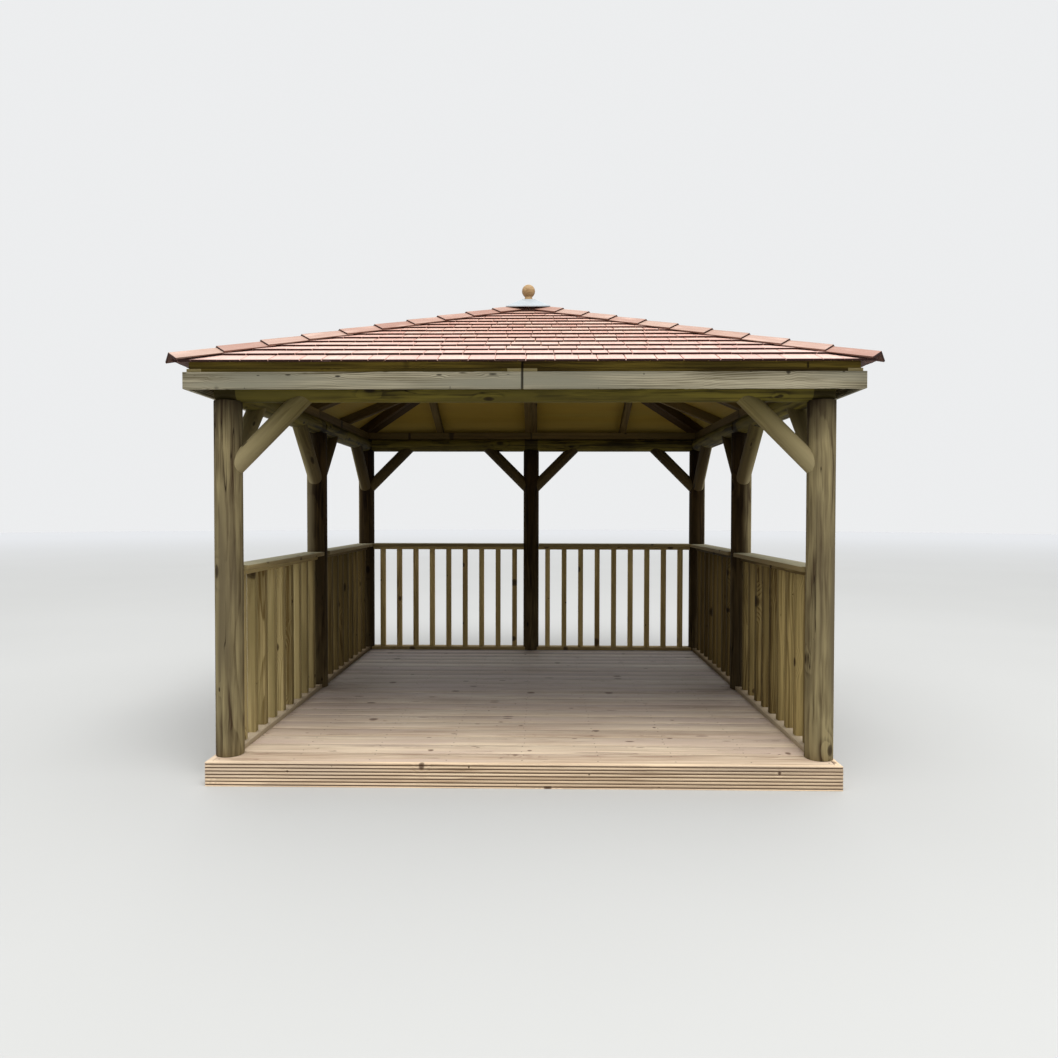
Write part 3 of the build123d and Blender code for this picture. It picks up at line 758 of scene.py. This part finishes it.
def scribed_board(width, thickness, cuts):
    """A board that fills a bay between two round posts."""
    bm = board(bay, width, thickness)
    for n in range(1, cuts):
        cut(bm, (0, width * (n / cuts - 0.5), 0), (0, 1, 0))
    for v in bm.verts:
        end = 1 if v.co.x > 0 else -1
        v.co.x = end * (bay / 2 - sqrt(post_radius**2 - min(abs(v.co.y), post_radius) ** 2))
    return bm


def balustrade(plank_mark, strength):
    """One bay along X, its plank marked darker (grime_and_painted_shade) or paler (paling_and_painted_light).
    """
    bm = bmesh.new()
    plank = scribed_board(plank_width, plank_thickness, 8)
    mark(plank, plank_mark, lambda place: strength)
    join(bm, plank, at(0, 0, deck_top + plank_thickness / 2))
    foot = deck_top + plank_thickness
    head = rail_low.z - subrail_height
    for n in range(balusters_per_bay):
        x = bay / (balusters_per_bay + 1) * (n + 1) - bay / 2
        made = board(head - foot, baluster_width, baluster_width)
        turn = spun(90 * rng.randrange(4)) @ Matrix.Rotation(-pi / 2, 4, "Y")
        join(bm, made, at(x, 0, (foot + head) / 2) @ turn)
    join(bm, scribed_board(baluster_width, subrail_height, 4), at(0, 0, head + subrail_height / 2))
    return bm


bay_places = {
    "back_left": at(-bay / 2, half_spacing, 0),
    "back_right": at(bay / 2, half_spacing, 0),
    "left_front": at(-half_spacing, -bay / 2, 0) @ spun(90),
    "left_back": at(-half_spacing, bay / 2, 0) @ spun(90),
    "right_front": at(half_spacing, -bay / 2, 0) @ spun(90),
    "right_back": at(half_spacing, bay / 2, 0) @ spun(90),
}
bay_woods = {"left": rail_wood, "right": right_rail_painted_shade}
rail_width = rail_high.x - rail_low.x
rail_thickness = rail_high.z - rail_low.z
rail_length = bay - rail_width
for place, turn in bay_places.items():
    panel = bmesh.new()
    at_back = place.startswith("back")
    join(panel, balustrade("grime_and_painted_shade", 0.6) if at_back else balustrade("paling_and_painted_light", 0.9), turn)
    bay_wood = back_rail_painted_lit if at_back else bay_woods[place.split("_")[0]]
    show(panel, f"bay_{place}", bay_wood, "balustrade_timber", f"balustrade_{place}")
for side in ("back", "left", "right"):
    rails = bmesh.new()
    for place, turn in bay_places.items():
        if place.startswith(side):
            made = board(rail_length, rail_width, rail_thickness, 0.004)
            join(rails, made, turn @ at(0, 0, rail_low.z + rail_thickness / 2))
    show(rails, f"top_rail_{side}", handrail_wood, "handrail_timber", f"handrails_{side}")

# %% [markdown]
# ## Roof frame
# Everything in the roof lies along a slope, so it is made in the front slope's own directions: u along the
# eave, s up the slope from the shingles' edge, h square to it from the top of the boarding.  The three other
# slopes are the same piece, turned.  Each slope is two triangular panels, so its rafters are a pair in the
# middle and two jacks, and a stile lies on each side of a hip.

# %% Lining, rafters and hip stiles
to_slope = at(0, -eave_half, eave_height) @ Matrix.Rotation(pitch, 4, "X")
slope_normal = Vector((0, -sin(pitch), cos(pitch)))
up_slope = Vector((0, cos(pitch), sin(pitch)))
sheathing_thickness = 0.012
rafter_width, rafter_depth = 0.055, 0.070
layers = sheathing_thickness + rafter_depth
panel_joint = 0.002
fascia_low, fascia_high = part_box("fascia_front")
frieze_thickness = 0.022
frieze_face = -fascia_high.y
frieze_back = frieze_face - frieze_thickness
rafter_start = (eave_half - frieze_back) / cos(pitch)
rafter_length = slope_length - rafter_start
jack_offset = 0.855
stile_offset = (panel_joint + rafter_width) / 2
hip_clear = rafter_width + panel_joint / 2
hip_turn = atan2(slope_length, eave_half)
hip_run = sqrt(slope_length**2 + eave_half**2)
under_boards = -sheathing_thickness - rafter_depth / 2

for side, angle in side_angles.items():
    node = f"sheathing_{side}"
    lining = copied(node, to_slope.inverted() @ spun(-angle))
    show(lining, f"roof_lining_{side}", panel_wood, "roof_board", node)

rafters = bmesh.new()
hip_stiles = bmesh.new()
for angle in side_angles.values():
    for offset in (-jack_offset, -stile_offset, stile_offset, jack_offset):
        made = board(rafter_length, rafter_width, rafter_depth)
        lie = to_slope @ at(offset, rafter_start + rafter_length / 2, under_boards) @ spun(90)
        move(made, lie)
        saw(made, left_hip, hip_clear + panel_joint)
        saw(made, right_hip, hip_clear + panel_joint)
        join(rafters, made, spun(angle))
    for flip in halves:
        made = board(hip_run, 4 * rafter_width, rafter_depth, 0.001)
        lie = to_slope @ at(-eave_half / 2, slope_length / 2, under_boards)
        move(made, lie @ Matrix.Rotation(hip_turn, 4, "Z"))
        saw(made, left_hip, panel_joint / 2)
        saw(made, (-1, 1, 0), -hip_clear)
        saw(made, left_half, panel_joint / 2)
        saw(made, up_slope, point=to_slope @ Vector((0, rafter_start, 0)))
        join(hip_stiles, made, spun(angle) @ flip)
show(rafters, "roof_rafters", rafter_wood, "rafter_timber", "rafters")
show(hip_stiles, "hip_stiles", stile_wood, "rafter_timber", "hip_rafters")

# %% [markdown]
# ## Eaves
# On the logs lie rails, bevelled to the slope.  Outside hang the pale fascia boards, two to a side, butted in
# the middle, and over them the olive frieze with a ledge at its foot.  All are mitred at the corners.

# %% Eaves rails, fascia and frieze
eaves_rail_width, eaves_rail_height = 0.045, 0.080
ledge_height, ledge_depth = 0.018, 0.008
frieze_lap, frieze_height = 0.040, 0.150
fascia_top = fascia_high.z
half_joint = panel_joint / 2
joint_ease, joint_shade_width = 0.0025, 0.009
# Painted light at both ends of each frieze ledge.
painted_lit_end, painted_light_strength = 0.075, 0.8


def half_board(low, high, arris, hip_gap=half_joint, under=None):
    """Half a front board, from its low and high (y, z), mitred at the left hip and sawn in the middle."""
    made = board(eave_half, high[0] - low[0], high[1] - low[1], arris)
    middle = at(-eave_half / 2, (low[0] + high[0]) / 2, (low[1] + high[1]) / 2)
    move(made, middle)
    saw(made, left_hip, hip_gap)
    saw(made, left_half, half_joint)
    butt = -half_joint - joint_ease / 10
    ease_edges(made, [e for e in made.edges if min(v.co.x for v in e.verts) > butt], joint_ease)
    # Painted shade: a dark band at the butt joint in the middle of each board.
    slice_across(made, -joint_shade_width)
    mark(made, "grime_and_painted_shade", lambda place: float(place.x > -joint_shade_width + joint_ease / 2))
    if under is not None:
        saw(made, -slope_normal, point=to_slope @ Vector((0, 0, -under)))
    return made


def ledge_board():
    """The frieze's ledge, painted paler at both ends: painted light."""
    low, high = (-frieze_face - ledge_depth, fascia_top), (-frieze_face, fascia_top + ledge_height)
    ledge = half_board(low, high, 0.0015)
    hip_end, butt_end = low[0] + painted_lit_end, -painted_lit_end
    for x in (hip_end, hip_end + shoulder, butt_end, butt_end - shoulder):
        slice_across(ledge, x)
    pale = (hip_end + shoulder / 2, butt_end - shoulder / 2)
    mark(ledge, "paling_and_painted_light", lambda place: painted_light_strength * (place.x < pale[0] or place.x > pale[1]))
    return ledge


rail_inner, rail_outer = -half_spacing + eaves_rail_width / 2, -half_spacing - eaves_rail_width / 2
rail_corners = (rail_outer, beam_top), (rail_inner, beam_top + eaves_rail_height)
frieze_corners = (-frieze_face, fascia_top - frieze_lap), (-frieze_back, fascia_top + frieze_height)
fascia_corners = (fascia_low.y, fascia_low.z), (fascia_high.y, fascia_high.z)
eaves_rails = bmesh.new()
friezes = bmesh.new()
for side, angle in side_angles.items():
    fascia = bmesh.new()
    for flip in halves:
        join(eaves_rails, half_board(*rail_corners, 0.0015, under=layers), spun(angle) @ flip)
        join(friezes, half_board(*frieze_corners, 0.001, under=sheathing_thickness), spun(angle) @ flip)
        join(friezes, ledge_board(), spun(angle) @ flip)
        join(fascia, half_board(*fascia_corners, 0.002, hip_gap=0.0), spun(angle) @ flip)
    show(fascia, f"fascia_boards_{side}", fascia_wood, "fascia_timber", f"fascia_{side}")
show(friezes, "frieze", frieze_wood, "frieze_timber", "frieze_boards")
show(eaves_rails, "eaves_timbers", rafter_wood, "rafter_timber", "eaves_rails")

# %% [markdown]
# ## Cedar
# Cedar shingles are sawn from short straight-grained blocks, so they show fibres and hardly a knot.  New
# cedar is pink to red-brown, no two alike, and rain has silvered the high fibres and paled the low courses.
# The butt ends and the faces that look down are painted dark, which is painted shade: the `butt` attribute
# holds the distance from the butt.

# %% Cedar finish
eave_fade = 0.45
high_fibre, old_cedar, dark_fibre = (214, 186, 170), (226, 200, 194), (120, 66, 50)
# Painted shade: a dark colour for the faces that look down and another for the butts.
underside_painted_shade, butt_painted_shade = (76, 42, 32), (46, 20, 14)


def cedar(name, tones, butt_shade_depth, low_bleach):
    """Sawn cedar: each shingle's tone picks one of the tones."""
    wood = Finish(name)
    grain = wood.stored("grain", "Vector")
    tone = wood.stored("tone", "Fac")
    along = wood.stored("butt", "Fac")
    colour = paint(*tones[0])
    for count, shade in enumerate(tones[1:]):
        middle = (count + 1) / len(tones)
        colour = wood.mix(wood.ease(tone, middle - 0.08, middle + 0.08), colour, paint(*shade))
    fibre = wood.cloud(grain, (10.0, 520.0, 60.0), 2.0)
    streak = wood.cloud(grain, (4.0, 130.0, 30.0), 3.0)
    silver = wood.cloud(grain, (5.0, 30.0, 10.0), 2.0)
    colour = wood.mix((streak - 0.40) * 0.9, colour, paint(*dark_fibre))
    colour = wood.mix(wood.ease(silver, 0.5, 0.75) * 0.35, colour, paint(*high_fibre))
    place = wood.axis(wood.coordinates("Object"), "Z")
    low_down = 1 - wood.ease(place, eave_height, eave_height + eave_fade)
    colour = wood.mix(low_down * low_bleach, colour, paint(*old_cedar))
    facing = wood.axis(wood.coordinates("Normal"), "Z")
    # Painted shade on faces that look down.
    colour = wood.mix(wood.ease(0 - facing, 0.1, 0.6) * 0.85, colour, paint(*underside_painted_shade))
    # Painted shade in a band along each butt.
    butt = 1 - wood.ease(along + (streak - 0.5) * 0.004, 0.0, butt_shade_depth)
    colour = wood.mix(butt * 0.96, colour, paint(*butt_painted_shade))
    return wood.close(colour, fibre * 0.14 + 0.5, fibre * 0.5 + streak, 0.0012, gloss=0.15)


shingle_wood = cedar("shingle_wood", [(194, 149, 131), (201, 161, 144), (188, 141, 123), (204, 168, 150),
                                      (183, 136, 119), (197, 156, 138), (195, 157, 138)], 0.006, 0.35)
hip_wood = cedar("hip_wood", [(164, 130, 115), (170, 141, 126), (154, 118, 103), (172, 145, 129)],
                 0.005, 0.05)
print(len(bpy.data.materials), "finishes with cedar")

# %% [markdown]
# ## Shingles
# A thousand shingles cover the roof.  They could be instances of a few, but in real courses every width
# differs, so each is made: a cube tapered from butt to head, its edges eased.  They are laid course by
# course with small gaps that never line up, over a starter course at the eave, and the hips are then sawn
# once through each whole slope.

# %% Courses of shingles
course_exposure = 0.124
course_butt = 0.020
shingle_length = 0.190
shingle_butt, shingle_tip = 0.0098, 0.0035
shingle_seat = course_butt - shingle_butt
starter_butt, starter_tip = 0.0045, 0.0030
eave_butt = 0.0120
shingle_lie = atan2(course_butt - shingle_butt - 0.0016, shingle_length)
shingle_ease = 0.0009
widest, narrowest = 0.185, 0.085
ragged_reach, turn_reach = 0.006, 0.006
across_for_along = Matrix(((0, 1, 0, 0), (1, 0, 0, 0), (0, 0, 1, 0), (0, 0, 0, 1)))


def shingle(width, length, butt, tip):
    """A tapered shingle, u across and s up from its butt, lying on its back."""
    bm = bmesh.new()
    bmesh.ops.create_cube(bm, size=1)
    bmesh.ops.translate(bm, verts=bm.verts, vec=(0, 0.5, 0.5))
    bmesh.ops.scale(bm, verts=bm.verts, vec=(width, length, butt))
    upper = [v for v in bm.verts if v.co.y > length / 2]
    bmesh.ops.scale(bm, verts=upper, vec=(1, 1, tip / butt))
    ease_edges(bm, bm.edges[:], shingle_ease, segments=1)
    give_grain(bm, Vector((rng.uniform(0, 50), rng.uniform(0, 9), 0)), rng.random(), across_for_along)
    mark(bm, "butt", lambda place: place.y)
    return bm


def lay_course(slope, start, length, butt, tip, height, lie):
    """One course, its butts at start up the slope."""
    half_run = (slope_length - start) * cos(pitch)
    u = -half_run - rng.uniform(0, narrowest)
    laid = 0
    while u < half_run:
        width = rng.uniform(narrowest, widest)
        gap = rng.uniform(0.002, 0.006)
        ragged = rng.uniform(0.0, ragged_reach)
        made = shingle(width - gap, length, butt * rng.uniform(0.9, 1.0), tip)
        skew = Matrix.Rotation(rng.uniform(-turn_reach, turn_reach), 4, "Z")
        turn = Matrix.Rotation(-lie, 4, "X") @ skew
        join(slope, made, at(u + width / 2, start + ragged, height) @ turn)
        u += width
        laid += 1
    return laid


course_starts = [n * course_exposure for n in range(int(slope_length / course_exposure) + 1)]
for side, angle in side_angles.items():
    slope = bmesh.new()
    laid = lay_course(slope, 0.002, 0.140, starter_butt, starter_tip, 0.0, 0.0)
    laid += lay_course(slope, 0.0, shingle_length, eave_butt - starter_butt, shingle_tip, starter_butt, 0.0)
    for start in course_starts[1:]:
        length = min(shingle_length, slope_length - start)
        laid += lay_course(slope, start, length, shingle_butt, shingle_tip, shingle_seat, shingle_lie)
    move(slope, to_slope)
    saw(slope, left_hip, 0.001)
    saw(slope, right_hip, 0.001)
    move(slope, spun(angle))
    show(slope, f"shingle_courses_{side}", shingle_wood, "cedar_shingle", f"shingles_{side}")
    print(side, laid, "shingles")

# %% [markdown]
# ## Hip caps
# Pairs of cedar boards step down each hip and throw water off the joint.  They are joined more steeply than
# the slopes meet, so only their outer edges lie on the shingles and the ridge between them stands up.  They
# are laid in the hip's own directions: x up the hip, z square to the board.  One half is laid, and its
# mirror through the hip gives the other, with a tone of its own.

# %% Stepped hip caps
hip_cap_width, hip_cap_exposure = 0.075, 0.248
hip_cap_length = 0.292
hip_cap_fall = radians(27)
hip_cap_butt, hip_cap_head = 0.0115, 0.0035
hip_cap_overhang = 0.010
hip_board_butt, hip_board_tip = 0.0100, 0.0035
apex_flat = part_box("finial_block")[0].z
hip_direction = Vector((1, 1, tan(pitch))).normalized()
across_hip = Vector((1, -1, 0)).normalized()
above_hip = across_hip.cross(hip_direction)
slope_fall = asin(slope_normal.dot(across_hip))
board_normal = across_hip * sin(hip_cap_fall) + above_hip * cos(hip_cap_fall)
ridge_gap = hip_cap_width * cos(hip_cap_fall) * (tan(hip_cap_fall) - tan(slope_fall))
hip_corner = Vector((-eave_half, -eave_half, eave_height + course_butt / cos(pitch)))
hip_start = hip_corner + above_hip * ridge_gap - hip_direction * hip_cap_overhang
hip_frame = Matrix.Identity(4)
for column, axis in enumerate((hip_direction, board_normal.cross(hip_direction), board_normal)):
    hip_frame.col[column][:3] = axis
hip_frame.translation = hip_start
hip_length = eave_half * sqrt(2 + tan(pitch) ** 2) + hip_cap_overhang
cap_count = int(hip_length / hip_cap_exposure) + 1
board_taper = (hip_board_butt - hip_board_tip) / hip_cap_length
cap_lie = atan2(hip_cap_butt - hip_cap_head, hip_cap_exposure) - board_taper
cap_reach = 0.03
corner_angles = {"front_left": 0, "front_right": 90, "back_right": 180, "back_left": 270}
for place, angle in corner_angles.items():
    caps = bmesh.new()
    for step in range(cap_count):
        for flip in (Matrix.Identity(4), across_for_along):
            width = hip_cap_width + cap_reach
            made = shingle(width, hip_cap_length, hip_board_butt, hip_board_tip)
            low = hip_cap_butt - hip_board_butt - rng.uniform(0, 0.001)
            lie = at(step * hip_cap_exposure, -hip_cap_width + width / 2, low)
            turn = Matrix.Rotation(cap_lie, 4, "Y") @ spun(-90 + rng.uniform(-0.3, 0.3))
            move(made, hip_frame @ lie @ turn)
            saw(made, left_hip)
            saw(made, (-1, 0, 0))
            saw(made, (0, 0, -1), point=(0, 0, apex_flat))
            if made.verts:
                join(caps, made, spun(angle) @ flip)
    show(caps, f"hip_boards_{place}", hip_wood, "hip_cap_cedar", f"hip_caps_{place}")

# %% [markdown]
# ## Metal cap and finial
# A square of sheet metal, folded to a low pyramid with a rim turned down, sheds water from the peak.  It is
# hand-beaten, so its slopes are not quite flat.  A turned wooden ball with a neck and a flange stands on it:
# it is round, so half of its outline is spun through a full turn.

# %% Cap, ball and block
def spin_outline(outline, steps):
    """Spin a half outline of (radius, height) points round the middle of the roof."""
    bm = bmesh.new()
    points = [bm.verts.new((radius, 0, height)) for radius, height in outline]
    for one, two in zip(points, points[1:]):
        bm.edges.new((one, two))
    bmesh.ops.spin(bm, geom=[*bm.verts, *bm.edges], cent=(0, 0, 0), axis=(0, 0, 1), angle=2 * pi, steps=steps,
                   use_merge=True)
    bmesh.ops.remove_doubles(bm, verts=bm.verts, dist=0.00001)
    bmesh.ops.recalc_face_normals(bm, faces=bm.faces)
    return bm


def arc(centre, radius, first, last, steps):
    """Points of a round stretch, from one angle in degrees to another."""
    turns = [radians(first + (last - first) * n / steps) for n in range(steps + 1)]
    return [(centre[0] + radius * cos(turn), centre[1] + radius * sin(turn)) for turn in turns]


cap_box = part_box("roof_cap")
ball_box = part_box("finial")
block_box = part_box("finial_block")
cap_seat = block_box[1].z
cap_half = cap_box[1].x
cap_crown_half = 0.044
cap_foot = cap_box[0].z
cap_hem = 0.004
sheet = 0.002
dent = 0.0012
dowel_radius = 0.010


def height_of(face):
    return face.calc_center_median().z


metal = Finish("cap_metal")
metal_spot = metal.coordinates("Object")
bloom = metal.cloud(metal_spot, (22.0, 22.0, 22.0), 4.0)
dull = metal.cloud(metal_spot, (90.0, 90.0, 90.0), 2.0)
metal_colour = metal.mix(bloom, paint(148, 157, 161), paint(170, 175, 178))
cap_metal = metal.close(metal_colour, bloom * 0.2 + 0.5, dull, 0.0002, metallic=0.15)

cap = bmesh.new()
bmesh.ops.create_cube(cap, size=1)
bmesh.ops.scale(cap, verts=cap.verts, vec=(2 * cap_half, 2 * cap_half, cap_hem + sheet))
bmesh.ops.translate(cap, verts=cap.verts, vec=(0, 0, cap_foot + (cap_hem + sheet) / 2))
underneath, crown = min(cap.faces, key=height_of), max(cap.faces, key=height_of)
bmesh.ops.delete(cap, geom=[underneath], context="FACES_ONLY")
bmesh.ops.inset_region(cap, faces=[crown], thickness=cap_half - cap_crown_half, use_even_offset=True)
bmesh.ops.translate(cap, verts=crown.verts, vec=(0, 0, cap_seat - cap_foot - cap_hem))
bmesh.ops.inset_region(cap, faces=[crown], thickness=cap_crown_half - dowel_radius, use_even_offset=True)
bmesh.ops.delete(cap, geom=[crown], context="FACES_ONLY")
slants = [e for e in cap.edges if abs(e.verts[0].co.z - e.verts[1].co.z) > 4 * cap_hem]
bmesh.ops.subdivide_edges(cap, edges=slants, cuts=7, use_grid_fill=True)
for v in cap.verts:
    if cap_foot + 2 * cap_hem < v.co.z < cap_seat:
        v.co.z -= dent * (1 + noise.noise(v.co * 14))
bmesh.ops.recalc_face_normals(cap, faces=cap.faces)
bmesh.ops.solidify(cap, geom=cap.faces[:], thickness=sheet)
show(cap, "metal_cap", cap_metal, "cap_metal", "roof_cap", crease=25)

ball_radius = ball_box[1].x
ball_middle = ball_box[1].z - ball_radius
flange_bottom = cap_seat + sheet
neck_radius, flange_radius = 0.0265, 0.043
flange_ease = 0.001
cove = flange_radius - neck_radius
neck_angle = -degrees(acos(neck_radius / ball_radius))
finial_outline = [(0.0, apex_flat), (dowel_radius, apex_flat), (dowel_radius, flange_bottom),
                  (flange_radius - flange_ease, flange_bottom), (flange_radius, flange_bottom + flange_ease),
                  (flange_radius, flange_bottom + 5 * flange_ease)]
finial_outline += arc((flange_radius, flange_bottom + 5 * flange_ease + cove), cove, -90, -180, 6)
finial_outline += arc((0, ball_middle), ball_radius, neck_angle, 90, 28)
finial = spin_outline(finial_outline, 64)
give_grain(finial, tree_spot(0.004, (-0.004, 0.004)), rng.random(), Matrix.Rotation(pi / 2, 4, "Y"))
show(finial, "turned_ball", turned_wood, "finial_timber", "finial", crease=50)

block = bmesh.new()
block_side = block_box[1].x - block_box[0].x
made = board(block_side, block_side, block_box[1].z - block_box[0].z, 0.002)
join(block, made, at(0, 0, (block_box[0].z + block_box[1].z) / 2))
show(block, "cap_block", turned_wood, "block_timber", "finial_block")

# %% [markdown]
# ## Screws
# A pair of countersunk screws holds each deck board to each joist, and shows as small dark dots.  Nine joists
# under 22 boards take 396 screws: each head is a cone of a few faces, all in one mesh.

# %% Deck screws
screw_radius, screw_depth, screw_inset = 0.0042, 0.0012, 0.030
steel = Finish("screw_steel")
rust = steel.cloud(steel.coordinates("Object"), (60.0, 60.0, 60.0), 3.0)
steel_colour = steel.mix(rust, paint(70, 64, 58), paint(104, 88, 74))
screw_steel = steel.close(steel_colour, rust * 0.3 + 0.4, rust, 0.0002, metallic=0.6)
screws = bmesh.new()
for y in board_places:
    for x in joist_places:
        for inset in (-board_pitch / 2 + screw_inset, board_pitch / 2 - screw_inset):
            head = bmesh.new()
            bmesh.ops.create_cone(head, cap_ends=True, segments=8, radius1=screw_radius,
                                  radius2=screw_radius * 0.8, depth=screw_depth)
            spot = at(x + rng.uniform(-0.006, 0.006), y + inset + rng.uniform(-0.004, 0.004), deck_top)
            join(screws, head, spot)
show(screws, "deck_screws", screw_steel, "cap_metal")
